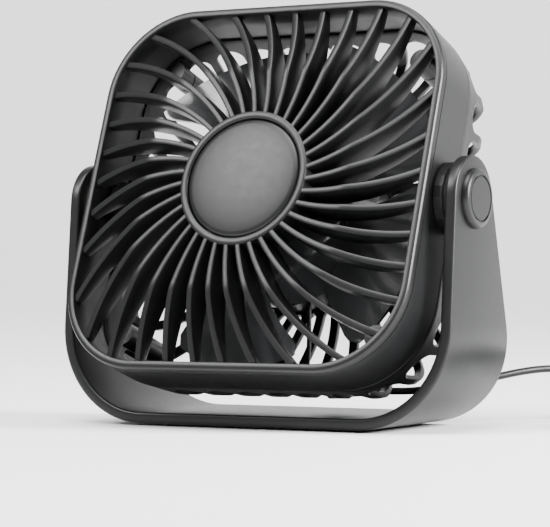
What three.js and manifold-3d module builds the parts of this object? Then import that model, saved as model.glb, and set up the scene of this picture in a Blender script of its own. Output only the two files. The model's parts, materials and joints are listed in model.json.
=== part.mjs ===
// A small plug-in desk fan: a rounded-square head that tilts in a U-shaped stand, with a
// five-bladed rotor on a brushless motor, a push button at the back and a plug-ended cord.
// Millimetres, +Z up, the fan blows towards -Y. The head is drawn in its own frame, with the fan
// axis along Y through the pivots, and then leans back.
import * as THREE from 'three';
import { mergeVertices } from 'three/addons/utils/BufferGeometryUtils.js';
import Module from 'manifold-3d';

const wasm = await Module();
wasm.setup();

// ---------------------------------------------------------------- driving dimensions
const GAP = 0.3;
const LEAN = THREE.MathUtils.degToRad(20);

const STAND_HALF = 75;
const STAND_THICK = 3.9;
const STAND_BOTTOM = 0.7;
const STAND_CORNER = 33.3;
const STAND_FRONT = -21.1;
const STAND_REAR = 33.7;
const ARM_ROUND = 14;
const PIVOT_Z = 76.1;

const HEAD_HALF = 65.6;
const HEAD_CORNER = 31;
const RIM_FRONT = -17.6;
const RIM_REAR = -14.6;
const RIM_INSIDE = 62.8;
const SEAM = 4;
const COVER_REAR = 31;
const COVER_PLATE = 2.8;

const RIB_COUNT = 35;
const RIB_TWIST = THREE.MathUtils.degToRad(0.3965);
const RIB_START = THREE.MathUtils.degToRad(-0.97);
const RIB_FLAT = 0.62;
const RIB_FRONT = -22.8;
const RIB_BACK = -11.5;
const RING_RADIUS = 24;

const SLOT_COUNT = 35;
const SLOT_BAR = 3;
const SLOT_FRONT = 9.6;
const SLOT_TURN = THREE.MathUtils.degToRad(-14);
const HUB_RADIUS = 30.5;

const BLADE_COUNT = 5;
const BLADE_TIP = 59.4;
const ROTOR_FRONT = -8.2;
const ROTOR_REAR = 13;
const ROTOR_RADIUS = 33;

const CORD = 2.5;

// ---------------------------------------------------------------- shape helpers
function solid(geometry) {
  const bare = geometry.clone();
  bare.deleteAttribute('normal');
  bare.deleteAttribute('uv');
  const merged = mergeVertices(bare, 1e-4);
  const corners = merged.index.array;
  const faces = [];
  for (let i = 0; i < corners.length; i += 3) {
    const [a, b, c] = [corners[i], corners[i + 1], corners[i + 2]];
    if (a !== b && b !== c && c !== a) faces.push(a, b, c);
  }
  return new wasm.Manifold(new wasm.Mesh({
    numProp: 3,
    vertProperties: new Float32Array(merged.attributes.position.array),
    triVerts: new Uint32Array(faces),
  }));
}

function surface(body) {
  const mesh = body.getMesh();
  const geometry = new THREE.BufferGeometry();
  geometry.setAttribute('position', new THREE.BufferAttribute(mesh.vertProperties, 3));
  geometry.setIndex(new THREE.BufferAttribute(mesh.triVerts, 1));
  geometry.computeVertexNormals();
  return geometry;
}

function join(first, ...others) {
  return others.reduce((body, other) => body.add(solid(other)), solid(first));
}

function cut(body, ...tools) {
  return tools.reduce((rest, tool) => rest.subtract(solid(tool)), body);
}

// Faces are turned round where a shape was swept the other way.
function outwards(geometry) {
  const place = geometry.attributes.position;
  const index = geometry.index.array;
  const at = (i) => new THREE.Vector3().fromBufferAttribute(place, index[i]);
  let volume = 0;
  for (let i = 0; i < index.length; i += 3) volume += at(i).dot(at(i + 1).cross(at(i + 2)));
  if (volume < 0) {
    for (let i = 0; i < index.length; i += 3) {
      const first = index[i];
      index[i] = index[i + 1];
      index[i + 1] = first;
    }
  }
  return geometry;
}

// Revolved about Y: points are [radius, y], anticlockwise; a loop off the axis closes itself.
function turned(points, segments = 16) {
  const loop = points.map(([r, y]) => new THREE.Vector2(r, y));
  if (points[0][0] > 0) loop.push(loop[0].clone());
  return new THREE.LatheGeometry(loop, segments);
}

function alongX(geometry) {
  return geometry.rotateZ(-Math.PI / 2);
}

function alongZ(geometry) {
  return geometry.rotateX(Math.PI / 2);
}

function rod(radius, y0, y1, x = 0, z = 0, segments = 12) {
  const half = (y1 - y0) / 2;
  return new THREE.CylinderGeometry(radius, radius, 2 * half, segments).translate(x, y0 + half, z);
}

function block(x0, x1, y0, y1, z0, z1) {
  return new THREE.BoxGeometry(x1 - x0, y1 - y0, z1 - z0)
    .translate((x0 + x1) / 2, (y0 + y1) / 2, (z0 + z1) / 2);
}

function roundedSquare(half, corner) {
  const flat = half - corner;
  const shape = new THREE.Shape();
  shape.absarc(flat, flat, corner, 0, Math.PI / 2);
  shape.absarc(-flat, flat, corner, Math.PI / 2, Math.PI);
  shape.absarc(-flat, -flat, corner, Math.PI, 1.5 * Math.PI);
  shape.absarc(flat, -flat, corner, 1.5 * Math.PI, 2 * Math.PI);
  return shape;
}

// A shape drawn in X and Z, carried along Y through rows of [y, scale], front to rear.
function lofted(shape, rows, arcSteps = 4) {
  const steps = rows.length - 1;
  const geometry = new THREE.ExtrudeGeometry(shape, {
    depth: steps, steps, bevelEnabled: false, curveSegments: arcSteps,
  });
  const place = geometry.attributes.position;
  for (let i = 0; i < place.count; i += 1) {
    const [y, scale] = rows[steps - Math.round(place.getZ(i))];
    place.setXYZ(i, place.getX(i) * scale, y, place.getY(i) * scale);
  }
  return geometry;
}

function prism(shape, y0, y1, arcSteps = 4) {
  return lofted(shape, [[y0, 1], [y1, 1]], arcSteps);
}

// A box of nu x nv x nw cells bent by place(u, v, w), each parameter from 0 to 1.
function bent(nu, nv, nw, place) {
  const geometry = new THREE.BoxGeometry(1, 1, 1, nu, nv, nw);
  const spots = geometry.attributes.position;
  for (let i = 0; i < spots.count; i += 1) {
    const at = [spots.getX(i) + 0.5, spots.getY(i) + 0.5, spots.getZ(i) + 0.5];
    spots.setXYZ(i, ...place(...at));
  }
  return geometry;
}

function tube(points, diameter, steps) {
  const route = new THREE.CatmullRomCurve3(points.map((p) => new THREE.Vector3(...p)));
  const section = new THREE.Shape();
  section.absarc(0, 0, diameter / 2, 0, 2 * Math.PI);
  return new THREE.ExtrudeGeometry(section, { extrudePath: route, steps, curveSegments: 4 });
}

// ---------------------------------------------------------------- the scene
const fan = new THREE.Group();
const head = new THREE.Group();
head.position.set(0, 0, PIVOT_Z);
head.rotation.x = -LEAN;
fan.add(head);

const finish = {
  shell: { color: 0x4a4b4d, roughness: 0.42, metalness: 0 },
  inner: { color: 0x2b2c2e, roughness: 0.5, metalness: 0 },
  blade: { color: 0x6a6c6f, roughness: 0.18, metalness: 0 },
  soft: { color: 0x242526, roughness: 0.6, metalness: 0 },
  steel: { color: 0xb9bcc0, roughness: 0.3, metalness: 1 },
  ferrite: { color: 0x3a3a3c, roughness: 0.7, metalness: 0.2 },
  copper: { color: 0xb06a3a, roughness: 0.35, metalness: 1 },
  board: { color: 0x1f5a38, roughness: 0.5, metalness: 0 },
  bronze: { color: 0xa5834b, roughness: 0.5, metalness: 1 },
  gold: { color: 0xd8b25a, roughness: 0.25, metalness: 1 },
  fibre: { color: 0xd9d6cc, roughness: 0.6, metalness: 0 },
};

function part(name, geometry, look, group = fan) {
  const mesh = new THREE.Mesh(geometry, new THREE.MeshStandardMaterial(finish[look]));
  mesh.name = name;
  group.add(mesh);
  return mesh;
}

// ---------------------------------------------------------------- stand
// One moulded band bent into a U, drawn from the front and trimmed by its side view: the arm
// ends are round about the pivots and the foot is deeper behind than in front.
function bandOutline() {
  const shape = new THREE.Shape();
  const low = STAND_BOTTOM + STAND_CORNER;
  const flat = STAND_HALF - STAND_CORNER;
  const inner = STAND_CORNER - STAND_THICK;
  const top = PIVOT_Z + ARM_ROUND + 2;
  shape.moveTo(-STAND_HALF, top);
  shape.absarc(-flat, low, STAND_CORNER, Math.PI, 1.5 * Math.PI);
  shape.absarc(flat, low, STAND_CORNER, 1.5 * Math.PI, 2 * Math.PI);
  shape.lineTo(STAND_HALF, top);
  shape.lineTo(STAND_HALF - STAND_THICK, top);
  shape.absarc(flat, low, inner, 2 * Math.PI, 1.5 * Math.PI, true);
  shape.absarc(-flat, low, inner, 1.5 * Math.PI, Math.PI, true);
  shape.lineTo(-STAND_HALF + STAND_THICK, top);
  return shape;
}

function tangentAngle(y, z) {
  return Math.atan2(z, y) + Math.sign(y) * Math.acos(ARM_ROUND / Math.hypot(y, z));
}

function sideOutline() {
  const shape = new THREE.Shape();
  const foot = STAND_BOTTOM - 1;
  const rear = tangentAngle(STAND_REAR, foot - PIVOT_Z);
  const front = tangentAngle(STAND_FRONT, foot - PIVOT_Z);
  shape.moveTo(STAND_FRONT, foot);
  shape.lineTo(STAND_REAR, foot);
  shape.absarc(0, PIVOT_Z, ARM_ROUND, rear, front + 2 * Math.PI);
  return shape;
}

function sideways(shape, x0, x1, arcSteps) {
  const geometry = new THREE.ExtrudeGeometry(shape, {
    depth: x1 - x0, bevelEnabled: false, curveSegments: arcSteps,
  });
  const basis = new THREE.Matrix4().makeBasis(
    new THREE.Vector3(0, 1, 0), new THREE.Vector3(0, 0, 1), new THREE.Vector3(1, 0, 0));
  return geometry.applyMatrix4(basis).translate(x0, 0, 0);
}

const CAP_SEAT = 0.8;
const CAP_RADIUS = 9.9;
const PIVOT_HOLE = 4.4;
const MAT_HALF = 38;
const MAT_FRONT = -14;
const MAT_REAR = 26;
const MAT_CORNER = 5;

// A level plate with rounded corners, drawn from above.
function levelPlate(grow, z0, z1) {
  const shape = new THREE.Shape();
  const [x, corner] = [MAT_HALF - MAT_CORNER, MAT_CORNER + grow];
  const [front, rear] = [MAT_FRONT + MAT_CORNER, MAT_REAR - MAT_CORNER];
  shape.absarc(x, rear, corner, 0, Math.PI / 2);
  shape.absarc(-x, rear, corner, Math.PI / 2, Math.PI);
  shape.absarc(-x, front, corner, Math.PI, 1.5 * Math.PI);
  shape.absarc(x, front, corner, 1.5 * Math.PI, 2 * Math.PI);
  return new THREE.ExtrudeGeometry(shape, {
    depth: z1 - z0, bevelEnabled: false, curveSegments: 3,
  }).translate(0, 0, z0);
}

const MAT_THICK = 1.3;

// The mat lies in a recess of the foot and stands proud of it.
function standFrame() {
  const band = solid(prism(bandOutline(), STAND_FRONT - 2, STAND_REAR + 2, 6));
  const trimmed = band.intersect(solid(sideways(sideOutline(), -80, 80, 10)));
  const tools = [];
  for (const side of [-1, 1]) {
    const seat = side * (STAND_HALF - CAP_SEAT / 2 + 1);
    const hole = alongX(rod(PIVOT_HOLE, -4, 4, 0, 0, 28));
    const recess = alongX(rod(CAP_RADIUS + GAP, -CAP_SEAT / 2 - 1, CAP_SEAT / 2 + 1, 0, 0, 30));
    tools.push(hole.translate(side * (STAND_HALF - 2), 0, PIVOT_Z));
    tools.push(recess.translate(seat, 0, PIVOT_Z));
  }
  return surface(cut(trimmed, ...tools, levelPlate(GAP, -1, MAT_THICK + GAP)));
}
part('stand_frame', standFrame(), 'shell');

part('base_mat', levelPlate(0, 0, MAT_THICK), 'soft');

// ---------------------------------------------------------------- pivots
// At each end of the pivot line: a boss trapped in the head's wall, a fibre washer that gives
// the friction, a shouldered screw through the arm, and a snap cap over the screw's head.
const CAP_X = STAND_HALF - CAP_SEAT + GAP;
const ARM_INSIDE = STAND_HALF - STAND_THICK;
const BOSS_X = ARM_INSIDE - 1.7;

function pivotCap() {
  return turned([[0, CAP_X + 1.8], [7, CAP_X + 1.8], [7, CAP_X], [CAP_RADIUS, CAP_X],
    [CAP_RADIUS, CAP_X + 1.6], [9.6, CAP_X + 2.5], [8.8, CAP_X + 3.1], [7.6, CAP_X + 3.1],
    [7.5, CAP_X + 2.5], [7.2, CAP_X + 2.5], [7.1, CAP_X + 3], [0, CAP_X + 3]], 24);
}

function pivotScrew() {
  return turned([[0, HEAD_HALF - 1.5], [2.4, HEAD_HALF - 1.5], [2.4, BOSS_X + GAP],
    [4.1, BOSS_X + GAP], [4.1, CAP_X], [6, CAP_X], [6, CAP_X + 1.1], [5.4, CAP_X + 1.4],
    [0, CAP_X + 1.4]], 16);
}

function pivotWasher() {
  return turned([[4.5, BOSS_X + GAP], [9, BOSS_X + GAP], [9, ARM_INSIDE - GAP],
    [4.5, ARM_INSIDE - GAP]], 20);
}

function pivotBoss() {
  return turned([[0, 60.9], [8, 60.9], [8, 62.2], [6, 62.2], [6, HEAD_HALF + GAP],
    [12, HEAD_HALF + GAP], [12, BOSS_X - 0.5], [11.5, BOSS_X], [2.7, BOSS_X], [2.7, 63.7],
    [0, 63.7]], 20);
}

for (const [side, turn] of [['right', 0], ['left', Math.PI]]) {
  const pieces = [
    [`pivot_cap_${side}`, pivotCap(), 'shell', fan],
    [`pivot_washer_${side}`, pivotWasher(), 'fibre', fan],
    [`pivot_screw_${side}`, pivotScrew(), 'steel', head],
    [`pivot_boss_${side}`, pivotBoss(), 'shell', head],
  ];
  for (const [name, geometry, look, group] of pieces) {
    const mesh = part(name, alongX(geometry).rotateZ(turn), look, group);
    if (group === fan) mesh.position.z = PIVOT_Z;
  }
}

// ---------------------------------------------------------------- front grille
// A rim that closes the head's mouth, 35 deep spiral ribs and a ring for the centre cap. The
// ribs' front edges lie in one plane about the ring and slope back to the rim outside it.
function rimShare(x, z) {
  const flat = HEAD_HALF - HEAD_CORNER;
  const corner = RIM_INSIDE - flat;
  const [ax, az] = [Math.abs(x), Math.abs(z)];
  let low = 0;
  let high = 2;
  for (let i = 0; i < 30; i += 1) {
    const share = (low + high) / 2;
    const [dx, dz] = [ax - share * flat, az - share * flat];
    const inside = dx <= 0 || dz <= 0
      ? Math.max(ax, az) <= share * RIM_INSIDE
      : Math.hypot(dx, dz) <= share * corner;
    if (inside) high = share;
    else low = share;
  }
  return high;
}

function ribFront(share) {
  return RIB_FRONT + 6.2 * Math.max(0, (share - RIB_FLAT) / (1 - RIB_FLAT));
}

function ribBack(share) {
  return RIB_BACK - 1.3 * Math.max(0, (share - RIB_FLAT) / (1 - RIB_FLAT));
}

function rib(index) {
  const angleAt = (r) => RIB_START + RIB_TWIST * r + (index * 2 * Math.PI) / RIB_COUNT;
  const spot = (r) => [r * Math.cos(angleAt(r)), r * Math.sin(angleAt(r))];
  let end = RIM_INSIDE;
  while (rimShare(...spot(end)) < 1.0) end += 0.1;
  return bent(4, 1, 1, (u, v, w) => {
    const r = RING_RADIUS - 1 + u * (end - RING_RADIUS + 1);
    const [x, z] = spot(r);
    const slope = angleAt(r) + Math.atan(r * RIB_TWIST);
    const half = (1.75 + 0.45 * u) * (w - 0.5);
    const share = rimShare(x, z);
    const y = v < 0.5 ? ribFront(share) : ribBack(share);
    return [x - half * Math.sin(slope), y, z + half * Math.cos(slope)];
  });
}

function ringOf(half, inside, rows) {
  const outer = solid(lofted(roundedSquare(half, HEAD_CORNER - HEAD_HALF + half), rows));
  const inner = roundedSquare(inside, HEAD_CORNER - HEAD_HALF + inside);
  return outer.subtract(solid(prism(inner, rows[0][0] - 5, rows[rows.length - 1][0] + 5)));
}

function frontGrille() {
  let body = ringOf(HEAD_HALF, RIM_INSIDE, [[RIM_FRONT, 0.989], [RIM_FRONT + 0.5, 0.997],
    [RIM_FRONT + 1.3, 1], [RIM_REAR, 1]]);
  body = body.add(ringOf(63.7, RIM_INSIDE, [[RIM_REAR - 1, 1], [-9, 1]]));
  const ring = turned([[1.5, -18], [RING_RADIUS - 2.7, -18], [RING_RADIUS - 2.7, RIB_FRONT + 0.1],
    [RING_RADIUS - 2.4, RIB_FRONT - 0.3], [RING_RADIUS - 0.4, RIB_FRONT - 0.3],
    [RING_RADIUS, RIB_FRONT + 0.1], [RING_RADIUS, -12], [RING_RADIUS - 2, -12],
    [RING_RADIUS - 2, -16], [1.5, -16]], 36);
  body = body.add(solid(outwards(ring)));
  for (let i = 0; i < RIB_COUNT; i += 1) body = body.add(solid(outwards(rib(i))));
  return surface(body);
}

part('front_grille', frontGrille(), 'shell', head);

const capEdge = RING_RADIUS - 3;
const CAP_FRONT = RIB_FRONT - 0.1;
part('centre_cap', turned([[0, CAP_FRONT - 1], [7, CAP_FRONT - 0.9], [14, CAP_FRONT - 0.5],
  [19.8, CAP_FRONT], [capEdge, CAP_FRONT + 0.6], [capEdge, -18.3], [0, -18.3]], 36), 'shell', head);

// ---------------------------------------------------------------- head shell
// A square tube in front of the seam and a slotted cover behind it, held by four long screws
// that run in towers in the corners.
const TOWER_REACH = 69;
const towerAt = [1, 3, 5, 7].map((k) => [TOWER_REACH * Math.cos(k * Math.PI / 4),
  TOWER_REACH * Math.sin(k * Math.PI / 4), k * Math.PI / 4]);

function tower(x, z, angle, y0, y1, reach) {
  const web = block(0, reach, y0, Math.min(y1, y0 + 5), -1.5, 1.5).rotateY(-angle);
  return [rod(4, y0, y1, x, z), web.translate(x, 0, z)];
}

function pivotHoles() {
  return [-1, 1].map((side) => alongX(rod(6 + GAP, -4, 4, 0, 0, 28)).translate(side * 65, 0, 0));
}

function frontHousing() {
  const rows = [[RIM_REAR + GAP, 1], [SEAM - GAP / 2, 0.996]];
  const outer = solid(lofted(roundedSquare(HEAD_HALF, HEAD_CORNER), rows));
  const inner = roundedSquare(HEAD_HALF - 1.6, HEAD_CORNER - 1.6);
  let body = cut(outer, lofted(inner, [[RIM_REAR, 1], [SEAM + 1, 0.996]]));
  for (const [x, z, angle] of towerAt) {
    for (const piece of tower(x, z, angle, -3.5, SEAM - GAP / 2, 9.6)) body = body.add(solid(piece));
    body = cut(body, rod(1.6, -2.4, SEAM + 1, x, z));
  }
  return surface(cut(body, ...pivotHoles()));
}
part('front_housing', frontHousing(), 'shell', head);

const coverRows = [[SEAM + GAP / 2, 65.3], [20, 63.2], [27.5, 59.6], [COVER_REAR, 53.5]];
const coverInside = [[SEAM, 63.3], [20, 61.2], [COVER_REAR - COVER_PLATE, 54.5]];
const scaled = (rows) => rows.map(([y, half]) => [y, half / HEAD_HALF]);

// A slot that leaves the hub, swirls against the ribs and wraps over the edge onto the side.
function slotTool(index) {
  const from = HUB_RADIUS + 1;
  const to = 86;
  return bent(2, 1, 1, (u, v, w) => {
    const r = from + (to - from) * u ** 1.2;
    const y = SLOT_FRONT + (COVER_REAR + 3 - SLOT_FRONT) * v;
    const wide = (2 * Math.PI * r) / SLOT_COUNT - SLOT_BAR;
    const end = u < 0.01 ? 0.5 : 1;
    const turn = SLOT_TURN * (r - from) / (62 - from);
    const angle = (index * 2 * Math.PI) / SLOT_COUNT + turn + 0.04;
    const side = wide * end * (w - 0.5);
    return [r * Math.cos(angle) - side * Math.sin(angle), y,
      r * Math.sin(angle) + side * Math.cos(angle)];
  });
}

const POST_REACH = 22;
const postAt = [0, 1, 2].map((k) => [POST_REACH * Math.cos(Math.PI / 2 + k * 2 * Math.PI / 3),
  POST_REACH * Math.sin(Math.PI / 2 + k * 2 * Math.PI / 3)]);
const CORD_Y = 33.5;
const CORD_Z = -56;

function rearCover() {
  const whole = solid(lofted(roundedSquare(HEAD_HALF, HEAD_CORNER), scaled(coverRows)));
  let body = whole.subtract(solid(lofted(roundedSquare(HEAD_HALF, HEAD_CORNER),
    scaled(coverInside))));
  for (let i = 0; i < SLOT_COUNT; i += 1) body = cut(body, outwards(slotTool(i)));
  const floor = COVER_REAR - COVER_PLATE;
  body = body.add(solid(turned([[28, 17], [30, 17], [30, floor + 1], [28, floor + 1]], 36)));
  for (const [x, z] of postAt) {
    body = body.add(solid(rod(3, 17, floor + 1, x, z)));
    body = cut(body, rod(1.3, 16, 26, x, z, 12));
  }
  for (const x of [-14, 14]) {
    body = body.add(solid(rod(2, 21.4, floor + 1, x, 0, 16)));
    body = body.add(solid(rod(0.9, 19, 22, x, 0, 12)));
  }
  for (const [x, z, angle] of towerAt) {
    let column = solid(rod(4, SEAM + GAP / 2, COVER_REAR, x, z));
    column = column.add(solid(tower(x, z, angle, SEAM + GAP / 2, 9, 9)[1]));
    body = body.add(column.intersect(whole));
    body = cut(body, rod(1.7, 0, 30, x, z), rod(3.2, 18.5, 40, x, z));
  }
  body = body.add(solid(block(5, 14, floor, CORD_Y + 2.8, CORD_Z - 3, CORD_Z + 3)));
  body = cut(body, alongX(rod(2, 7, 20)).translate(0, CORD_Y, CORD_Z),
    rod(1.6, 24, CORD_Y, 9, CORD_Z + 1), rod(2, 20, 27, 6, -29), rod(6.6, 20, 40, 0, 0, 32));
  return surface(cut(body, ...pivotHoles()));
}
part('rear_cover', rearCover(), 'shell', head);

towerAt.forEach(([x, z], i) => {
  const screw = turned([[0, -2], [1.3, -2], [1.3, 18.2], [2.8, 18.2], [2.8, 19.2], [2.2, 19.8],
    [0, 19.8]], 16);
  part(`housing_screw_${i + 1}`, screw.translate(x, 0.6, z), 'steel', head);
});

// ---------------------------------------------------------------- rotor
// A cup-shaped hub with five broad blades, pressed on the shaft; a steel
// ring and the magnet line the inside of its inner skirt.
function blade(index) {
  const span = (w) => THREE.MathUtils.degToRad(46 + 16 * w);
  return bent(5, 1, 3, (u, v, w) => {
    const r = ROTOR_RADIUS - 0.8 + (BLADE_TIP - ROTOR_RADIUS + 0.8) * w;
    const lead = THREE.MathUtils.degToRad(-33 + 8 * w) + (index * 2 * Math.PI) / BLADE_COUNT;
    const corner = w > 0.9 && (u < 0.01 || u > 0.99) ? 0.9 : 1;
    const angle = lead - span(w) * (u - 0.5) * corner;
    const rise = 15 - 1.5 * w;
    const y = 2.6 + rise * (u - 0.5) + 2.4 * (0.25 - (u - 0.5) ** 2) + 1.5 * (v - 0.5);
    return [r * Math.cos(angle), y, r * Math.sin(angle)];
  });
}

function rotor() {
  const cup = turned([[1.7, ROTOR_FRONT], [31, ROTOR_FRONT], [32.6, ROTOR_FRONT + 1.6],
    [33.6, ROTOR_REAR], [31.8, ROTOR_REAR], [31, -5.6], [26.9, -5.6], [26.9, 9], [25.3, 9],
    [25.3, -5.6], [4.5, -5.6], [4.5, -3.2], [1.7, -3.2]], 36);
  let body = solid(cup);
  for (let i = 0; i < BLADE_COUNT; i += 1) body = body.add(solid(outwards(blade(i))));
  return surface(body);
}
part('rotor', rotor(), 'blade', head);
part('magnet_yoke', turned([[23.6, -5.2], [25, -5.2], [25, 8.5], [23.6, 8.5]], 30), 'steel', head);
part('magnet_ring', turned([[21.5, -4.5], [23.3, -4.5], [23.3, 7.5], [21.5, 7.5]], 30),
  'ferrite', head);
part('rotor_shaft', turned([[0, -7.8], [1.4, -7.8], [1.4, 14], [0, 14]], 16), 'steel', head);
part('shaft_clip', turned([[1.7, 12.5], [3.4, 12.5], [3.4, 13.1], [1.7, 13.1]], 16), 'steel', head);

// ---------------------------------------------------------------- motor
// Four wound poles round a bearing tube that stands on a base plate, screwed into the cup of
// the rear cover.
function statorCore() {
  let body = solid(turned([[6, -1.5], [9, -1.5], [9, 4.5], [6, 4.5]], 28));
  let shoes = solid(turned([[17, -1.5], [21.1, -1.5], [21.1, 4.5], [17, 4.5]], 30));
  for (const turn of [0, Math.PI / 2]) {
    for (const side of [-1, 1]) {
      const arm = block(8, 18, -1.5, 4.5, -2.5, 2.5).rotateY(turn + (side > 0 ? 0 : Math.PI));
      body = body.add(solid(arm));
    }
    shoes = cut(shoes, block(-24, 24, -3, 6, -2.5, 2.5).rotateY(turn + Math.PI / 4));
  }
  return surface(body.add(shoes));
}
part('stator_core', statorCore(), 'steel', head);

for (let i = 0; i < 4; i += 1) {
  const outer = solid(block(10, 15.5, -4.5, 7.5, -5.4, 5.4));
  const coil = cut(outer, block(9, 17, -1.8, 4.8, -2.8, 2.8));
  part(`stator_coil_${i + 1}`, surface(coil).rotateY(i * Math.PI / 2), 'copper', head);
}

const LEAD_X = -11;
function motorBase() {
  const plate = turned([[3.9, -2.5], [5.5, -2.5], [5.5, 14.4], [27.4, 14.4], [27.4, 16.4],
    [3.9, 16.4]], 30);
  const holes = postAt.map(([x, z]) => rod(1.6, 12, 18, x, z, 12));
  return surface(cut(solid(plate), ...holes, rod(2, 12, 18, LEAD_X, 0, 12)));
}
part('motor_base', motorBase(), 'inner', head);

[[-2.2, 0.8], [9, 12]].forEach(([y0, y1], i) => {
  const ring = turned([[1.7, y0], [3.6, y0], [3.6, y1], [1.7, y1]], 20);
  part(`sleeve_bearing_${i + 1}`, ring, 'bronze', head);
});

postAt.forEach(([x, z], i) => {
  const screw = turned([[0, 12.7], [2.4, 12.7], [2.4, 14.1], [1, 14.1], [1, 25], [0, 25]], 16);
  part(`motor_screw_${i + 1}`, screw.translate(x, 0, z), 'steel', head);
});

const BOARD_Y = 19.5;
function controlBoard() {
  const disc = rod(18, BOARD_Y, BOARD_Y + 1.6, 0, 0, 36);
  return surface(cut(solid(disc), rod(1.2, 18, 23, -14, 0, 12), rod(1.2, 18, 23, 14, 0, 12)));
}
part('control_board', controlBoard(), 'board', head);
part('motor_leads', rod(1.2, 7.8, BOARD_Y - GAP, LEAD_X, 0, 10), 'soft', head);

const SWITCH_Y = BOARD_Y + 1.6 + GAP;
const tactSwitch = join(block(-3, 3, SWITCH_Y, SWITCH_Y + 3, -3, 3),
  rod(1.7, SWITCH_Y + 2.5, SWITCH_Y + 3.8, 0, 0, 16));
part('tact_switch', surface(tactSwitch), 'ferrite', head);

const BUTTON_Y = SWITCH_Y + 5;
part('push_button', turned([[0, BUTTON_Y], [7.6, BUTTON_Y], [7.6, BUTTON_Y + 1],
  [6.2, BUTTON_Y + 1], [6.2, BUTTON_Y + 5.6], [5.6, BUTTON_Y + 6.2], [0, BUTTON_Y + 6.2]], 32),
'inner', head);

part('supply_lead', tube([[9, 31, -55], [9, 28, -54.6], [9, 25.2, -51], [8.4, 24.6, -44],
  [7.2, 24.4, -36], [6, 24, -29], [5, 23.4, -22], [4.4, 22.6, -15]], 1.6, 24), 'soft', head);

// ---------------------------------------------------------------- cord
// The cord leaves a small block low on the cover, arches over the surface and ends in a tied
// coil; the tail lies on the surface beside it with the plug.
const GLAND_X = 14 + GAP;
const GLAND_END = 26;
const glandShape = turned([[0, 7.6], [1.7, 7.6], [1.7, GLAND_X], [3.2, GLAND_X], [3.2, 16],
  [2.8, 16.6], [2.1, GLAND_END], [0, GLAND_END]], 16);
part('cord_gland', alongX(glandShape).translate(0, CORD_Y, CORD_Z), 'soft', head);

const cordExit = new THREE.Vector3(GLAND_END + GAP, CORD_Y, CORD_Z)
  .applyAxisAngle(new THREE.Vector3(1, 0, 0), -LEAN).add(new THREE.Vector3(0, 0, PIVOT_Z));
const route = [
  cordExit.toArray(), [30, cordExit.y + 0.1, cordExit.z], [36, 14.1, 11.9], [43, 18.2, 12],
  [50, 24, 13], [57, 31, 14.4], [64, 39.5, 16.2], [70, 48, 17.8], [75, 56, 18.5],
  [79.4, 64, 18.2], [83, 71.5, 17], [85.9, 78.5, 15.2], [88, 84.5, 13.4], [89.1, 88, 12.4],
  [89.3, 90, 12.1],
];
part('power_cord', tube(route, CORD, 20), 'soft');

const COIL_X = 102;
const COIL_Y = 90;
const COIL_MID = 14;
const COIL_HALF = 5.2;
const TIE_AT = THREE.MathUtils.degToRad(-60);

function tieFrame(grow) {
  const outer = solid(block(-7 - grow, 7 + grow, -3 - grow, 3 + grow, 0.1 - grow, 10.3 + grow));
  const hole = block(-5.4 + grow, 5.4 - grow, -9, 9, 1.5 + grow, 8.9 - grow);
  return cut(outer, hole);
}

function placedTie(body) {
  return surface(body).rotateZ(TIE_AT)
    .translate(COIL_X + COIL_MID * Math.cos(TIE_AT), COIL_Y + COIL_MID * Math.sin(TIE_AT), 0);
}

function coilRing() {
  const [inner, outer] = [COIL_MID - COIL_HALF, COIL_MID + COIL_HALF];
  const top = 2 * COIL_HALF;
  const ring = turned([[inner, 1.2], [inner + 1.2, 0], [outer - 1.2, 0], [outer, 1.2],
    [outer, top - 1.2], [outer - 1.2, top], [inner + 1.2, top], [inner, top - 1.2]], 30);
  const placed = solid(alongZ(ring).translate(COIL_X, COIL_Y, 0));
  return surface(placed.subtract(solid(placedTie(tieFrame(GAP)))));
}
part('cord_coil', coilRing(), 'soft');
part('coil_tie', placedTie(tieFrame(0)), 'inner');

const plugDirection = new THREE.Vector3(-0.3, -0.954, 0).normalize();
const PLUG_START = [114.1, 61.8, 4.3];
const tail = [
  [119.6, 79.2, 1.3], [119.2, 75.5, 1.7], [118.2, 71.7, 2.5], [116.6, 67.8, 3.5],
  [115, 64.1, 4.2], [114.2, 62.1, 4.3],
];
part('cord_tail', tube(tail, CORD, 8), 'soft');

// The plug lies flat, drawn along +X from the cord's end and then turned and placed.
const plug = new THREE.Group();
plug.position.set(...PLUG_START);
plug.rotation.z = Math.atan2(plugDirection.y, plugDirection.x);
fan.add(plug);
const RELIEF = 6.7;
const MOULD = 17;
const SHELL = 12;
const MOULD_X = RELIEF + GAP;
const SHELL_X = MOULD_X + MOULD + GAP;

function plate(halfWidth, halfHeight, corner, x0, x1) {
  const shape = new THREE.Shape();
  const [w, h] = [halfWidth - corner, halfHeight - corner];
  shape.absarc(w, h, corner, 0, Math.PI / 2);
  shape.absarc(-w, h, corner, Math.PI / 2, Math.PI);
  shape.absarc(-w, -h, corner, Math.PI, 1.5 * Math.PI);
  shape.absarc(w, -h, corner, 1.5 * Math.PI, 2 * Math.PI);
  return sideways(shape, x0, x1, 2);
}

part('plug_relief', plate(3.4, 2.4, 1.5, GAP, RELIEF), 'soft', plug);
part('plug_body', plate(7.45, 4.1, 1.2, MOULD_X, MOULD_X + MOULD), 'soft', plug);

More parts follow.
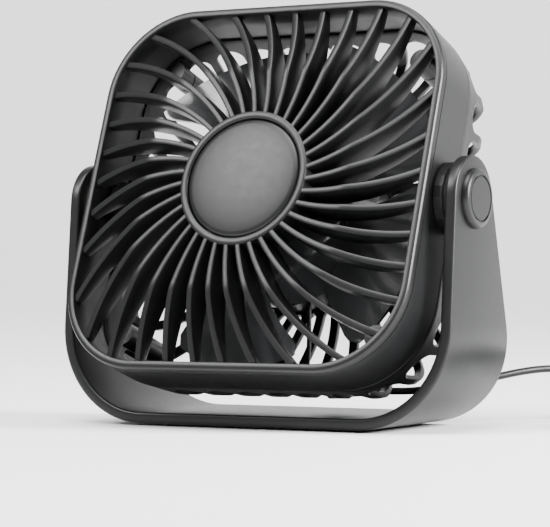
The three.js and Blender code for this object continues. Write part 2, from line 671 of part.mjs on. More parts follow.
const shellTube = cut(solid(plate(6, 2.25, 0.5, SHELL_X, SHELL_X + SHELL)),
  plate(5.65, 1.9, 0.4, SHELL_X - 1, SHELL_X + SHELL + 1),
  block(SHELL_X + 4.3, SHELL_X + 6.8, 1.6, 4.1, 1, 4),
  block(SHELL_X + 4.3, SHELL_X + 6.8, -4.1, -1.6, 1, 4));
part('plug_shell', surface(shellTube), 'steel', plug);
part('plug_tongue', block(SHELL_X, SHELL_X + SHELL - 0.8, -5.3, 5.3, -1.6, 0), 'fibre', plug);
[-3.5, -1, 1, 3.5].forEach((y, i) => {
  part(`plug_contact_${i + 1}`, block(SHELL_X + 1, SHELL_X + 10, y - 0.5, y + 0.5, GAP, GAP + 0.3),
    'gold', plug);
});

export default fan;
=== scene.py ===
"""A small desk fan: a rounded-square head that tilts in a U-shaped stand. Metres, +Z up, and the
fan blows towards -Y. Lengths in the sections are in millimetres, and become metres in the mesh."""
import json
import math

import bmesh
import bpy
import numpy as np
from mathutils import Matrix, Vector


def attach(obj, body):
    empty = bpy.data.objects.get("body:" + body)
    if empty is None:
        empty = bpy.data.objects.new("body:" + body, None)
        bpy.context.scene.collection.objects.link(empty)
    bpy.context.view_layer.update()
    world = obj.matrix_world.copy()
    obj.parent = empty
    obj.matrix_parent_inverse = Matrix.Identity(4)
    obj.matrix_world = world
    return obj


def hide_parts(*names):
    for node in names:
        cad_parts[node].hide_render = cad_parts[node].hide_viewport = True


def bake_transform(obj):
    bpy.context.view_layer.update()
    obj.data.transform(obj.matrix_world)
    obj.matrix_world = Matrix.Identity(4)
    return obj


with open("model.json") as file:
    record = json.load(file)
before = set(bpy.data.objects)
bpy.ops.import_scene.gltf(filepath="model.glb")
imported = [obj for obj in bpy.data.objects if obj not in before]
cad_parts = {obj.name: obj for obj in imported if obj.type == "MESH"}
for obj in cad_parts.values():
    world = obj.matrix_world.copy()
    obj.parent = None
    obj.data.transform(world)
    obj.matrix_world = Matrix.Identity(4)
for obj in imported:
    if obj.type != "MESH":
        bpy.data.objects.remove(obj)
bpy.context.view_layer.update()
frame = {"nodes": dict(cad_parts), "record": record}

# ---- camera
# A long lens to the fan's right, lower than the pivot line and almost level.
CAMERA_AT = Vector((0.4263, -0.7347, 0.0559))
AZIMUTH, ELEVATION, ROLL = (math.radians(a) for a in (30.13, 0.05, -0.22))
FOCAL_LENGTH, SENSOR_WIDTH = 163.4, 36.0
back = Vector((math.sin(AZIMUTH) * math.cos(ELEVATION), -math.cos(AZIMUTH) * math.cos(ELEVATION),
               math.sin(ELEVATION)))
level = Vector((math.cos(AZIMUTH), math.sin(AZIMUTH), 0))
upright = back.cross(level)
right = level * math.cos(ROLL) + upright * math.sin(ROLL)
top = upright * math.cos(ROLL) - level * math.sin(ROLL)
lens = bpy.data.cameras.new("camera")
lens.lens, lens.sensor_width = FOCAL_LENGTH, SENSOR_WIDTH
lens.sensor_fit = "HORIZONTAL"
lens.clip_start = 0.05
camera = bpy.data.objects.new("camera", lens)
bpy.context.scene.collection.objects.link(camera)
camera.matrix_world = Matrix.Translation(CAMERA_AT) @ Matrix((right, top, back)).transposed().to_4x4()
bpy.context.scene.camera = camera

# ---- cord
# A round two-core lead in a soft dark jacket. It leaves a gland low on the back of the head,
# reaches past the stand's foot, and its spare length is wound into a tied coil with the plug.
CORD = 2.5
EXIT = (26.3, 12.33, 12.02)


def plastic(name, colour, rough, grain=0.05, speckle=9000, cloud=0.12, coat=0.0, gloss=0.3):
    """Moulded plastic. Colour is mixed between two close tones by slow noise, roughness moves
    a little with a middling noise, and a fine noise of the mould's texture gives the bump.
    Gloss is the strength of the plain reflection, and coat that of a clear layer over it."""
    made = bpy.data.materials.new(name)
    made.use_nodes = True
    tree = made.node_tree
    shader = tree.nodes["Principled BSDF"]
    shader.inputs["Coat Weight"].default_value = coat
    shader.inputs["Specular IOR Level"].default_value = gloss
    shader.inputs["Coat Roughness"].default_value = 0.12
    place = tree.nodes.new("ShaderNodeTexCoord").outputs["Object"]

    def noise(scale, detail):
        node = tree.nodes.new("ShaderNodeTexNoise")
        node.inputs["Scale"].default_value = scale
        node.inputs["Detail"].default_value = detail
        tree.links.new(place, node.inputs["Vector"])
        return node.outputs["Fac"]

    ramp = tree.nodes.new("ShaderNodeValToRGB")
    ramp.color_ramp.elements[0].position = 0.3
    ramp.color_ramp.elements[1].position = 0.7
    ramp.color_ramp.elements[0].color = (*[c * (1 - cloud) for c in colour], 1)
    ramp.color_ramp.elements[1].color = (*[c * (1 + cloud) for c in colour], 1)
    tree.links.new(noise(60, 3), ramp.inputs["Fac"])
    tree.links.new(ramp.outputs["Color"], shader.inputs["Base Color"])
    spread = tree.nodes.new("ShaderNodeMapRange")
    spread.inputs["To Min"].default_value = rough - 0.05
    spread.inputs["To Max"].default_value = rough + 0.05
    tree.links.new(noise(400, 4), spread.inputs["Value"])
    tree.links.new(spread.outputs["Result"], shader.inputs["Roughness"])
    bump = tree.nodes.new("ShaderNodeBump")
    bump.inputs["Strength"].default_value = grain
    bump.inputs["Distance"].default_value = 0.0001
    tree.links.new(noise(speckle, 2), bump.inputs["Height"])
    tree.links.new(bump.outputs["Normal"], shader.inputs["Normal"])
    return made


def surfaces(name, grids, material, smooth=40):
    """Joins grids of points in millimetres into one mesh. Each grid is rows x columns, closed
    round its columns, and its two end rows are filled unless the grid is marked as a loop."""
    corners, faces, start = [], [], 0
    for grid, loop in grids:
        rows, columns = grid.shape[:2]
        index = start + np.arange(rows * columns).reshape(rows, columns)
        if loop:
            index = np.vstack([index, index[:1]])
        near, far = index[:-1], index[1:]
        quads = np.stack([near, np.roll(near, -1, 1), np.roll(far, -1, 1), far], -1)
        faces += quads.reshape(-1, 4).tolist()
        if not loop:
            faces += [index[0][::-1].tolist(), index[-1].tolist()]
        corners.append(grid.reshape(-1, 3) * 0.001)
        start += rows * columns
    mesh = bpy.data.meshes.new(name)
    mesh.from_pydata(np.concatenate(corners).tolist(), [], faces)
    mesh.validate()
    mesh.materials.append(material)
    mesh.shade_smooth()
    mesh.set_sharp_from_angle(angle=math.radians(smooth))
    made = bpy.data.objects.new(name, mesh)
    bpy.context.scene.collection.objects.link(made)
    return made


def facing_out(made):
    """Turns every closed part of a mesh so that its faces point outwards."""
    work = bmesh.new()
    work.from_mesh(made.data)
    bmesh.ops.recalc_face_normals(work, faces=work.faces)
    work.to_mesh(made.data)
    work.free()
    return made


def curve_through(points, per_span=8):
    """A Catmull-Rom line: each span is the cubic whose end slopes are half the chord between
    the neighbours on either side."""
    p = np.asarray(points, float)
    p = np.vstack([2 * p[0] - p[1], p, 2 * p[-1] - p[-2]])
    t = np.linspace(0, 1, per_span, endpoint=False)[None, :, None]
    a, b, c, d = (p[i:len(p) - 3 + i, None] for i in range(4))
    line = 0.5 * (2 * b + (c - a) * t + (2 * a - 5 * b + 4 * c - d) * t ** 2
                  + (3 * b - a - 3 * c + d) * t ** 3)
    return np.vstack([line.reshape(-1, 3), p[-2]])


def tube(line, radius, around=12):
    """A round tube: rings at right angles to the line, each frame carried on from the last by
    taking away what lies along the new direction."""
    ahead = np.gradient(line, axis=0)
    ahead /= np.linalg.norm(ahead, axis=1)[:, None]
    side = np.cross(ahead[0], (0, 0, 1.0))
    sides = []
    for direction in ahead:
        side = side - direction * (side @ direction)
        side /= np.linalg.norm(side)
        sides.append(side)
    sides = np.array(sides)
    other = np.cross(ahead, sides)
    turn = np.linspace(0, 2 * np.pi, around, endpoint=False)
    ring = np.cos(turn)[None, :, None] * sides[:, None] + np.sin(turn)[None, :, None] * other[:, None]
    return line[:, None] + radius * ring


# The coil is a path of steady turns clockwise from above. Its bundle is four lanes wide and
# four high. It keeps to a lane for 295 degrees and moves over within the last 60 of them.
COIL_AT = np.array((102.0, 90.0))
COIL_MID, LANE_WIDE, LANE_LOW = 14.0, 2.6, 1.3
LANE_ORDER = np.array([(1, 3), (0, 3), (0, 2), (0, 1), (0, 0), (1, 0), (1, 1), (1, 2), (2, 2),
                       (2, 3), (3, 3), (3, 2), (3, 1), (2, 1), (2, 0), (3, 0)])
LANES = LANE_ORDER * LANE_WIDE + (COIL_MID - 1.5 * LANE_WIDE, LANE_LOW)
LANE_TURN, MOVE_TURN, DROP_TURN, COIL_TURN = (math.radians(a) for a in (295, 60, 75, 4500))
DROP = 3.0


def coil_line(count=620):
    """Radius and height follow the lanes, changing by half cosines; the first turn also comes
    down by the drop, and the angle falls evenly from the west side."""
    swept = np.linspace(0, COIL_TURN, count)
    spot = np.tile(LANES[0], (count, 1))
    for k in range(len(LANES) - 1):
        share = np.clip((swept - (k + 1) * LANE_TURN + MOVE_TURN) / MOVE_TURN, 0, 1)
        spot += (0.5 - 0.5 * np.cos(np.pi * share))[:, None] * (LANES[k + 1] - LANES[k])
    spot[:, 1] += DROP * (0.5 + 0.5 * np.cos(np.pi * np.clip(swept / DROP_TURN, 0, 1)))
    angle = np.pi - swept
    return np.stack([COIL_AT[0] + spot[:, 0] * np.cos(angle),
                     COIL_AT[1] + spot[:, 0] * np.sin(angle), spot[:, 1]], -1)


ROUTE = [EXIT, (30, 12.43, 12.02), (36, 14.1, 11.9), (43, 18.2, 12), (50, 24, 13),
         (57, 31, 14.4), (64, 39.5, 16.2), (70, 48, 17.8), (75, 56, 18.5), (79.4, 64, 18.2),
         (83, 71.5, 17), (85.9, 78.5, 15.2), (88, 84.5, 13.4)]
TAIL = [(119.85, 84.5, 1.3), (119.6, 79.2, 1.3), (119.2, 75.5, 1.7), (118.2, 71.7, 2.5),
        (116.6, 67.8, 3.5), (115, 64.1, 4.2), (114.2, 62.1, 4.3)]
coil = coil_line()
cord_line = np.vstack([curve_through([*ROUTE, coil[0]])[:-1], coil[:-1],
                       curve_through([coil[-1], *TAIL])])
soft = plastic("soft_jacket", (0.008, 0.008, 0.0085), 0.42, 0.08, 6000)
cord = facing_out(surfaces("cord", [(tube(cord_line, CORD / 2), False)], soft))
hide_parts("power_cord", "cord_coil", "cord_tail")
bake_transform(cord)
for node in ("plug_relief", "plug_body", "cord_gland", "supply_lead", "motor_leads", "base_mat"):
    frame["nodes"][node].data.materials.clear()
    frame["nodes"][node].data.materials.append(soft)

# ---- tie
# A hook-and-loop strap, 6 wide, is wrapped round the bundle on the side nearest the plug.
STRAP_TURN = math.radians(-60)
STRAP_HALF, STRAP_TOP, STRAP_THICK, STRAP_BEND = (5.9, 3.0), 10.4, 0.8, 1.8
CLEAR_OF_TABLE = 0.02


def strap():
    """A loop round the bundle's section: a rounded rectangle whose band has a small flat
    section, then turned and moved to its place on the ring."""
    turn = np.linspace(0, np.pi / 2, 7)
    turn = np.concatenate([turn + q * np.pi / 2 for q in range(4)])
    cx = np.repeat([1, -1, -1, 1], 7) * (STRAP_HALF[0] - STRAP_BEND)
    cz = np.repeat([1, 1, 0, 0], 7) * (STRAP_TOP - 2 * STRAP_BEND) + STRAP_BEND
    wide = np.array([1, -1, -1, 1]) * STRAP_HALF[1]
    reach = STRAP_BEND + np.array([[0, 0, STRAP_THICK, STRAP_THICK]])
    x = cx[:, None] + reach * np.cos(turn)[:, None]
    z = np.maximum(cz[:, None] + reach * np.sin(turn)[:, None], CLEAR_OF_TABLE)
    y = np.repeat(wide[None, :], len(turn), 0)
    c, s = math.cos(STRAP_TURN), math.sin(STRAP_TURN)
    x = x + COIL_MID
    return np.stack([COIL_AT[0] + x * c - y * s, COIL_AT[1] + x * s + y * c, z], -1)


tie_fabric = plastic("tie_fabric", (0.02, 0.02, 0.021), 0.85, 0.9, 1400)
tie = facing_out(surfaces("tie", [(strap(), True)], tie_fabric))
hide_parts("coil_tie")
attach(tie, "stand")

# ---- stand
# One moulded band bent into a U, 3.9 thick. It is widest at the foot and narrows towards the
# arms' round ends, and all its edges are softened.
HALF, THICK, BOTTOM, BEND, BAND_EDGE = 75.0, 3.9, 0.7, 33.3, 0.9
FRONT, REAR, PIVOT, ROUND = -21.1, 33.7, 76.1, 14.0
shell = plastic("shell_plastic", (0.006, 0.0061, 0.0064), 0.36)


def band_edge(z, foot_y):
    """How far the band reaches in Y at height z: a straight side from the foot that touches
    the arm's round end, and that circle above the point of touch."""
    base = BOTTOM - 1 - PIVOT
    lean = math.atan2(base, foot_y) + math.copysign(math.acos(ROUND / math.hypot(foot_y, base)),
                                                    foot_y)
    y0, z0 = ROUND * math.cos(lean), ROUND * math.sin(lean)
    straight = y0 + (foot_y - y0) * (z - PIVOT - z0) / (base - z0)
    circle = np.sqrt(np.clip(ROUND ** 2 - (z - PIVOT) ** 2, 0, None)) * math.copysign(1, foot_y)
    return np.where(z - PIVOT < z0, straight, circle)


def band():
    """Sections across the band are rectangles with round corners. The path runs down the left
    arm, round two quarter circles and up the right arm, closer together near the ends."""
    rise = PIVOT + ROUND - BOTTOM - BEND
    arm = rise * np.cos(np.linspace(0, np.pi / 2, 36))
    bend = np.linspace(np.pi, 1.5 * np.pi, 22)[1:]
    inner = HALF - BEND
    left = np.vstack([np.stack([-HALF + 0 * arm, BOTTOM + BEND + arm, -1 + 0 * arm, 0 * arm], -1),
                      np.stack([-inner + BEND * np.cos(bend), BOTTOM + BEND + BEND * np.sin(bend),
                                np.cos(bend), np.sin(bend)], -1)])
    mirror = left[::-1] * (-1, 1, -1, 1)
    path = np.vstack([left, mirror])
    front, rear = band_edge(path[:, 1], FRONT), band_edge(path[:, 1], REAR)
    soft_edge = np.minimum(BAND_EDGE, (rear - front) / 2)
    turn = np.linspace(0, np.pi / 2, 5)
    corner = np.concatenate([turn + q * np.pi / 2 for q in range(4)])
    to_rear = np.repeat([1, 0, 0, 1], 5)
    outside = np.repeat([1, 1, 0, 0], 5)
    round_y, round_n = np.cos(corner), np.sin(corner)
    y = np.where(to_rear, rear[:, None] - soft_edge[:, None], front[:, None] + soft_edge[:, None])
    y = y + soft_edge[:, None] * round_y
    depth = np.where(outside, soft_edge[:, None], THICK - soft_edge[:, None])
    depth = depth - soft_edge[:, None] * round_n
    x = path[:, :1] - path[:, 2:3] * depth
    z = path[:, 1:2] - path[:, 3:4] * depth
    return np.stack([x, y, z], -1)


stand = facing_out(surfaces("stand", [(band(), False)], shell))
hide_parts("stand_frame")
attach(stand, "stand")

# ---- pivots
# A snap cap with a fine groove covers the screw on the outside of each arm. The boss between
# head and arm keeps its shape and takes the shell's plastic.


def turned(points, around=64):
    """A profile of (radius, height) turned round the Y axis."""
    p = np.asarray(points, float)
    turn = np.linspace(0, 2 * np.pi, around, endpoint=False)
    return np.stack([p[:, :1] * np.cos(turn), np.repeat(p[:, 1:], around, 1),
                     p[:, :1] * np.sin(turn)], -1)


def sideways(grid, side):
    """Turns a shape's +Y to +X or -X and lifts it to the pivot line."""
    x, y, z = np.moveaxis(grid, -1, 0)
    return np.stack([y * side, -x * side, z + PIVOT], -1)


CAP = [(0.02, 74.6), (9.9, 74.6), (9.9, 75.9), (9.7, 76.6), (9.3, 77.1), (8.7, 77.4), (7.9, 77.5),
       (7.75, 77.45), (7.7, 77.0), (7.3, 77.0), (7.25, 77.3), (7.1, 77.45), (5, 77.5), (0.02, 77.55)]
for side, word in ((1, "right"), (-1, "left")):
    cap = facing_out(surfaces(f"cap_{word}", [(sideways(turned(CAP), side), False)], shell, 25))
    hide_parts(f"pivot_cap_{word}")
    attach(cap, "stand")
    boss = frame["nodes"][f"pivot_boss_{word}"]
    boss.data.materials.clear()
    boss.data.materials.append(shell)

# ---- front grille
# A square rim and thirty-five thin deep ribs that swirl out from a ring, in one moulding.
LEAN = math.radians(20)
RIM, RIM_CORNER, MOUTH = 65.6, 31.0, 62.8
RIBS, TWIST, RIB_START = 35, math.radians(0.3965), math.radians(-0.97)
RIB_FRONT, RIB_BACK, RIB_FLAT, RING = -22.8, -11.5, 0.62, 24.0
FRONT_SLOPE, BACK_SLOPE, RIB_THIN, RIB_THICK, RIB_EDGE = 6.2, 1.3, 1.75, 2.2, 0.28


def leaned(grid):
    """Leans a shape of the head back about the pivot line and lifts it into place."""
    x, y, z = np.moveaxis(np.asarray(grid, float), -1, 0)
    c, s = math.cos(LEAN), math.sin(LEAN)
    return np.stack([x, y * c + z * s, PIVOT - y * s + z * c], -1)


def rounded_square(profile, around=18):
    """Carries a profile of (half width, y) round a square whose corners are arcs about one
    centre each, 34.6 out from the middle both ways."""
    p = np.asarray(profile, float)
    flat = RIM - RIM_CORNER
    quarter = np.linspace(0, np.pi / 2, around)
    turn = np.concatenate([quarter + k * np.pi / 2 for k in range(4)])
    cx = np.repeat([flat, -flat, -flat, flat], around)
    cz = np.repeat([flat, flat, -flat, -flat], around)
    reach = p[:, :1] - flat
    return np.stack([cx + reach * np.cos(turn), np.repeat(p[:, 1:], len(turn), 1),
                     cz + reach * np.sin(turn)], -1)


def rim_share(x, z):
    """How far out a point lies, as a share of the way to the mouth, measured with the same
    rounded squares: the largest reach for which the point is on the outline."""
    flat, arc = RIM - RIM_CORNER, MOUTH - RIM + RIM_CORNER
    a, b = np.abs(x), np.abs(z)
    lo, hi = np.zeros_like(a), np.full_like(a, 2.0)
    for _ in range(30):
        share = (lo + hi) / 2
        dx, dz = a - share * flat, b - share * flat
        inside = np.where((dx <= 0) | (dz <= 0), np.maximum(a, b) <= share * MOUTH,
                          np.hypot(dx, dz) <= share * arc)
        hi, lo = np.where(inside, share, hi), np.where(inside, lo, share)
    return hi


def rib(index, steps=26):
    """A rib's centreline is a spiral, angle growing evenly with radius. Its section is a deep
    thin rectangle with small round corners; the front slopes back beyond the flat part."""
    def spot(r):
        angle = RIB_START + TWIST * r + index * 2 * np.pi / RIBS
        return angle, r * np.cos(angle), r * np.sin(angle)
    reach = np.linspace(40, 90, 1200)
    end = reach[np.argmax(rim_share(*spot(reach)[1:]) >= 1.0)]
    r = np.linspace(RING - 1, end, steps)
    angle, x, z = spot(r)
    out = (r - r[0]) / (end - r[0])
    share = rim_share(x, z)
    slope = np.clip((share - RIB_FLAT) / (1 - RIB_FLAT), 0, None)
    front, rear = RIB_FRONT + FRONT_SLOPE * slope, RIB_BACK - BACK_SLOPE * slope
    heading = angle + np.arctan(r * TWIST)
    half = (RIB_THIN + (RIB_THICK - RIB_THIN) * out) / 2
    turn = np.linspace(0, np.pi / 2, 3)
    corner = np.concatenate([turn + q * np.pi / 2 for q in range(4)])
    side_of = np.repeat([1, -1, -1, 1], 3)
    to_rear = np.repeat([1, 1, 0, 0], 3)
    across = side_of * (half[:, None] - RIB_EDGE) + RIB_EDGE * np.cos(corner)
    y = np.where(to_rear, rear[:, None] - RIB_EDGE, front[:, None] + RIB_EDGE)
    y = y + RIB_EDGE * np.sin(corner)
    return np.stack([x[:, None] - across * np.sin(heading)[:, None], y,
                     z[:, None] + across * np.cos(heading)[:, None]], -1)


RIM_PROFILE = [(62.8, -9), (62.8, -17.2), (63.0, -17.5), (63.3, -17.6), (64.6, -17.6),
               (65.15, -17.4), (65.5, -16.9), (65.6, -16.3), (65.6, -14.7), (65.45, -14.6),
               (63.9, -14.6), (63.7, -14.4), (63.7, -9)]
RING_PROFILE = [(21.3, -18), (21.3, -22.6), (21.5, -22.95), (21.8, -23.1), (23.5, -23.1),
                (23.85, -22.95), (24, -22.6), (24, -12), (22, -12), (22, -16), (1.5, -16),
                (1.5, -18)]
grille = facing_out(surfaces("grille", [
    (leaned(rounded_square(RIM_PROFILE)).transpose(1, 0, 2), True),
    (leaned(turned(RING_PROFILE, 96)).transpose(1, 0, 2), True),
    *[(leaned(rib(i)), False) for i in range(RIBS)]], shell, 35))
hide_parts("front_grille")
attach(grille, "head")

# ---- centre cap
# A smooth, slightly domed disc pressed into the ring in the middle of the grille.
DISC = [(0.02, -23.9), (4, -23.87), (8, -23.78), (12, -23.6), (16, -23.3), (19, -23.0), (20.2, -22.8),
        (20.8, -22.5), (21, -22.1), (21, -18.3), (0.02, -18.3)]
disc = facing_out(surfaces("centre_disc", [(leaned(turned(DISC, 96)), False)], shell, 50))
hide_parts("centre_cap")
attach(disc, "head")

# ---- front housing
# The square tube behind the grille, with a screw tower in each corner.
HOUSING = [(65.6, -14.2), (65.45, -14.3), (64.0, -14.3), (64.0, 3.85), (65.2, 3.85), (65.35, 3.7)]


def tower(x, z, y0, y1, radius=4.0):
    """A plain round post along Y."""
    grid = turned([(0.02, y0), (radius, y0), (radius, y1), (0.02, y1)], 24)
    return grid + np.array((x, 0, z))


corners_at = [(sx * 48.79, sz * 48.79) for sx in (1, -1) for sz in (1, -1)]
housing = facing_out(surfaces("housing", [
    (leaned(rounded_square(HOUSING, 20)).transpose(1, 0, 2), True),
    *[(leaned(tower(x, z, -3.5, 3.8)), False) for x, z in corners_at]], shell, 35))
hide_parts("front_housing")
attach(housing, "head")

# ---- rear cover
# A shallow square bowl whose slots swirl from the hub and wrap over its edge. The bars between
# them are strips of the bowl, which widen into round slot ends at both ends.
SLOTS, BAR, FIRST_SLOT = 35, 3.0, 0.04
HUB_RIM, FLAT_BACK, BACK_AT, COVER_WALL = 30.5, 48.0, 31.0, 2.0
SWIRL_BACK, SWIRL_SIDE, INNER_END, OUTER_END = math.radians(10), math.radians(6.5), 0.02, 1.825
BOWL = np.array([(65.3, 4.15), (64.5, 9.6), (63.2, 20), (61.8, 24.6), (59.6, 27.5), (57, 29.7),
                 (53.5, 30.9), (48, 31)])


def bowl_point(turn, depth):
    """A point of the bowl in direction turn. Depth from 0 to 1 moves from the hub's rim to the
    edge of the flat back, and from 1 to 2 down the curved side to the seam."""
    flat = RIM - RIM_CORNER
    c, s = np.abs(np.cos(turn)), np.abs(np.sin(turn))

    def reach(half):
        """Distance from the middle to the rounded square of that half width and 34.6 flat."""
        straight = half / np.maximum(c, s)
        arc = half - flat
        dot = flat * (c + s)
        round_ = dot + np.sqrt(np.clip(dot ** 2 - 2 * flat ** 2 + arc ** 2, 0, None))
        on_arc = np.minimum(c, s) * straight > flat
        return np.where(on_arc, round_, straight)
    outer = np.clip(depth - 1, 0, 1)
    step = np.append(0, np.cumsum(np.linalg.norm(np.diff(BOWL, axis=0), axis=1)))
    step /= step[-1]
    half = np.interp(1 - outer, step, BOWL[:, 0])
    y = np.interp(1 - outer, step, BOWL[:, 1])
    r_side = reach(half)
    r_flat = HUB_RIM + np.clip(depth, 0, 1) * (reach(np.full_like(c, FLAT_BACK)) - HUB_RIM)
    return np.where(depth < 1, r_flat, r_side), np.where(depth < 1, BACK_AT, y)


def bar(index, columns=9):
    """Bar and slot share one thirty-fifth of a turn. The strip's two edges sit half a slot
    from the slot's middle, and meet the next strips where the slots end."""
    pitch = 2 * np.pi / SLOTS
    depth = np.concatenate([np.linspace(0, 0.14, 10), np.linspace(0.18, 1, 16),
                            np.linspace(1.03, 1.66, 20), np.linspace(1.675, 1.80, 10),
                            np.linspace(1.804, OUTER_END, 9), [1.87, 1.94, 2]])[:, None]
    middle = index * pitch + FIRST_SLOT + pitch / 2
    r, _ = bowl_point(np.full_like(depth, middle), depth)
    swirl = -SWIRL_BACK * np.clip(depth, 0, 1) - SWIRL_SIDE * np.clip(depth - 1, 0, 1)
    open_half = np.clip((2 * np.pi * r / SLOTS - BAR) / 2, 0, None) / r
    near_hub = np.clip((depth - INNER_END) / 0.09, 0, 1)
    near_seam = np.clip((OUTER_END - depth) / 0.14, 0, 1)
    taper = np.sqrt(1 - (1 - near_hub) ** 2) * np.sqrt(1 - (1 - near_seam) ** 2)
    share = np.linspace(-1, 1, columns)[None, :]
    angle = middle + swirl + share * (pitch / 2 - open_half * taper)
    r, y = bowl_point(angle, np.repeat(depth, columns, 1))
    return np.stack([r * np.cos(angle), y, r * np.sin(angle)], -1)


def slotted_cover():
    """All the bars as open strips, welded where they touch, then given the wall's thickness."""
    strips = [bar(i) for i in range(SLOTS)]
    rows, columns = strips[0].shape[:2]
    index = np.arange(rows * columns).reshape(rows, columns)
    quads = np.stack([index[:-1, :-1], index[:-1, 1:], index[1:, 1:], index[1:, :-1]], -1)
    quads = quads.reshape(-1, 4)
    faces = np.concatenate([quads + i * rows * columns for i in range(SLOTS)])
    points = leaned(np.concatenate([s.reshape(-1, 3) for s in strips])) * 0.001
    mesh = bpy.data.meshes.new("rear_grille")
    mesh.from_pydata(points.tolist(), [], faces.tolist())
    work = bmesh.new()
    work.from_mesh(mesh)
    bmesh.ops.remove_doubles(work, verts=work.verts, dist=3e-5)
    bmesh.ops.recalc_face_normals(work, faces=work.faces)
    work.to_mesh(mesh)
    work.free()
    mesh.materials.append(shell)
    mesh.shade_smooth()
    made = bpy.data.objects.new("rear_grille", mesh)
    bpy.context.scene.collection.objects.link(made)
    wall = made.modifiers.new("wall", "SOLIDIFY")
    wall.thickness = COVER_WALL * 0.001
    wall.offset = -1
    soft_edge = made.modifiers.new("edges", "BEVEL")
    soft_edge.width = 0.0005
    soft_edge.segments = 2
    soft_edge.limit_method = "ANGLE"
    soft_edge.angle_limit = math.radians(50)
    return made


rear = slotted_cover()
HUB = [(6.6, 31), (6.6, 28.2), (28, 28.2), (28, 17), (30, 17), (30, 28.2), (31, 28.4), (31, 30.6),
       (30.7, 31), (29.6, 31), (29.3, 30.7), (28.9, 30.7), (28.6, 31), (8.6, 31), (8.2, 30.6),
       (7.2, 30.6)]
hub = facing_out(surfaces("rear_hub", [
    (leaned(turned(HUB, 80)).transpose(1, 0, 2), True),
    *[(leaned(tower(x, z, 4.4, 18.4)), False) for x, z in corners_at]], shell, 35))
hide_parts("rear_cover")
for piece in (rear, hub):
    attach(piece, "head")

# ---- rotor
# A polished grey hub with five broad blades; the hub's front edge is bevelled. The blades start
# a little inside the hub's skirt.
BLADES, TIP, ROOT = 5, 59.4, 32.2
blade_plastic = plastic("blade_plastic", (0.055, 0.056, 0.058), 0.16, 0.01, 3000, 0.06, 0.5, 0.5)


def blade(index, across=18, along=10):
    """A blade lies on a twisted sheet: angle shrinks and height grows across it, with a slight
    belly, and its thickness fades towards both edges."""
    w = np.linspace(0, 1, along)[:, None]
    turn = np.linspace(0, 2 * np.pi, 2 * across, endpoint=False)
    u, v = 0.5 - 0.5 * np.cos(turn)[None], np.sin(turn)[None]
    r = ROOT + (TIP - ROOT) * w
    lead = np.radians(-33 + 8 * w) + index * 2 * np.pi / BLADES
    trim = 1 - 0.12 * np.clip((w - 0.8) / 0.2, 0, 1) ** 2
    angle = lead - np.radians(46 + 16 * w) * (u - 0.5) * trim
    y = 2.6 + (15 - 1.5 * w) * (u - 0.5) + 2.4 * (0.25 - (u - 0.5) ** 2) + 0.75 * v
    r = r + 0 * u
    return np.stack([r * np.cos(angle), y, r * np.sin(angle)], -1)


CUP = [(1.7, -8.2), (30.4, -8.2), (31.2, -8.0), (32.3, -6.9), (32.6, -6.2), (33.6, 12.6), (33.3, 13),
       (31.8, 13), (31, -5.6), (26.9, -5.6), (26.9, 9), (25.3, 9), (25.3, -5.6), (4.5, -5.6),
       (4.5, -3.2), (1.7, -3.2)]
wheel = facing_out(surfaces("wheel", [(leaned(turned(CUP, 96)).transpose(1, 0, 2), True),
                                      *[(leaned(blade(i)), False) for i in range(BLADES)]],
                            blade_plastic, 35))
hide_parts("rotor")
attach(wheel, "rotor")

# ---- small parts
# Screws, motor, board and plug metal keep their shapes and take real finishes.


def metal(name, colour, rough, grain=0.2):
    """Drawn or stamped metal: the plastic's noises, with a weaker clouding, made metallic."""
    made = plastic(name, colour, rough, grain, 2500, 0.05)
    made.node_tree.nodes["Principled BSDF"].inputs["Metallic"].default_value = 1.0
    return made


finishes = {
    "steel": metal("screw_steel", (0.55, 0.56, 0.58), 0.30),
    "plug_steel": metal("nickel_plate", (0.72, 0.73, 0.75), 0.18, 0.05),
    "gold": metal("contact_gold", (0.80, 0.60, 0.24), 0.25),
    "bronze": metal("sintered_bronze", (0.45, 0.33, 0.17), 0.5, 0.5),
    "copper": metal("wound_copper", (0.62, 0.28, 0.14), 0.35),
    "ferrite": plastic("ferrite_grey", (0.06, 0.06, 0.062), 0.65, 0.2),
    "board": plastic("board_green", (0.02, 0.12, 0.06), 0.35, 0.1, 3000, 0.25),
    "fibre": plastic("washer_fibre", (0.68, 0.66, 0.60), 0.7, 0.3),
    "tongue": plastic("tongue_white", (0.75, 0.75, 0.74), 0.45),
    "inner": plastic("inner_plastic", (0.01, 0.01, 0.0105), 0.5, 0.1),
}
for row in frame["record"]["subparts"]:
    if row["material_slot"] in finishes:
        kept = frame["nodes"][row["node"]]
        kept.data.materials.clear()
        kept.data.materials.append(finishes[row["material_slot"]])

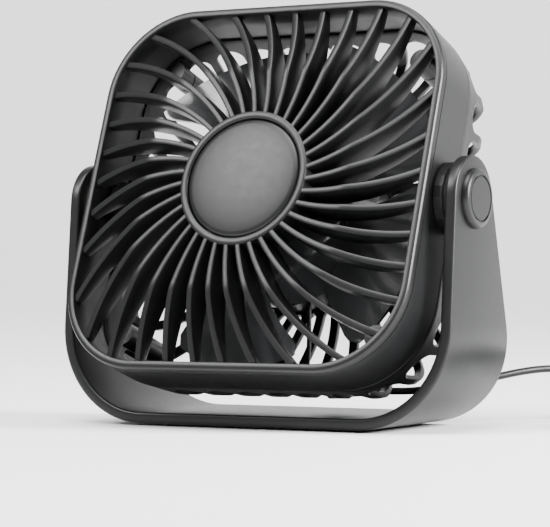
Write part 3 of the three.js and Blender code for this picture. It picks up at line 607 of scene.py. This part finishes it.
# ---- room
# A white floor that curves up into a white wall far behind the fan. A wide soft sun lights it
# from above, a lamp stands on the fan's right, and one from the front left lights the face.
SWEEP_FROM, SWEEP_RADIUS, ROOM_HALF, ROOM_LIGHT = 2.0, 12.0, 20.0, 0.3
LAMPS_AIM = Vector((0, 0, 0.08))


def sweep_profile(count=24):
    """Flat from the front edge to where the sweep starts, then a quarter circle, then upright."""
    turn = np.linspace(0, np.pi / 2, count)
    curve = np.stack([SWEEP_FROM + SWEEP_RADIUS * np.sin(turn),
                      SWEEP_RADIUS - SWEEP_RADIUS * np.cos(turn)], -1)
    return np.vstack([(-ROOM_HALF, 0), curve, (SWEEP_FROM + SWEEP_RADIUS, ROOM_HALF)])


profile = sweep_profile()
floor_points = np.array([(side * ROOM_HALF, y, z) for side in (-1, 1) for y, z in profile])
floor_faces = [(k, k + len(profile), k + len(profile) + 1, k + 1) for k in range(len(profile) - 1)]
floor_mesh = bpy.data.meshes.new("floor")
floor_mesh.from_pydata(floor_points.tolist(), [], floor_faces)
floor_mesh.materials.append(plastic("floor_paint", (0.86, 0.86, 0.86), 0.9, 0.0, 50, 0.005))
floor = bpy.data.objects.new("floor", floor_mesh)
bpy.context.scene.collection.objects.link(floor)
world = bpy.data.worlds.new("room")
world.use_nodes = True
world.node_tree.nodes["Background"].inputs["Color"].default_value = (1, 1, 1, 1)
world.node_tree.nodes["Background"].inputs["Strength"].default_value = ROOM_LIGHT
bpy.context.scene.world = world
sky = bpy.data.lights.new("overhead", "SUN")
sky.energy, sky.angle = 6.0, math.radians(40)
overhead = bpy.data.objects.new("overhead", sky)
overhead.rotation_euler = (math.radians(20), 0, 0)
bpy.context.scene.collection.objects.link(overhead)
LIGHTS = (("right", (0.9, 0.10, 0.42), (0.3, 0.4), 38), ("left", (-0.7, -0.9, 1.0), (0.5, 0.5), 22))
for name, place, (wide, high), power in LIGHTS:
    lamp = bpy.data.lights.new(name, "AREA")
    lamp.shape = "RECTANGLE"
    lamp.size, lamp.size_y, lamp.energy = wide, high, power
    light = bpy.data.objects.new(name, lamp)
    light.location = place
    light.rotation_euler = (LAMPS_AIM - Vector(place)).to_track_quat("-Z", "Y").to_euler()
    bpy.context.scene.collection.objects.link(light)
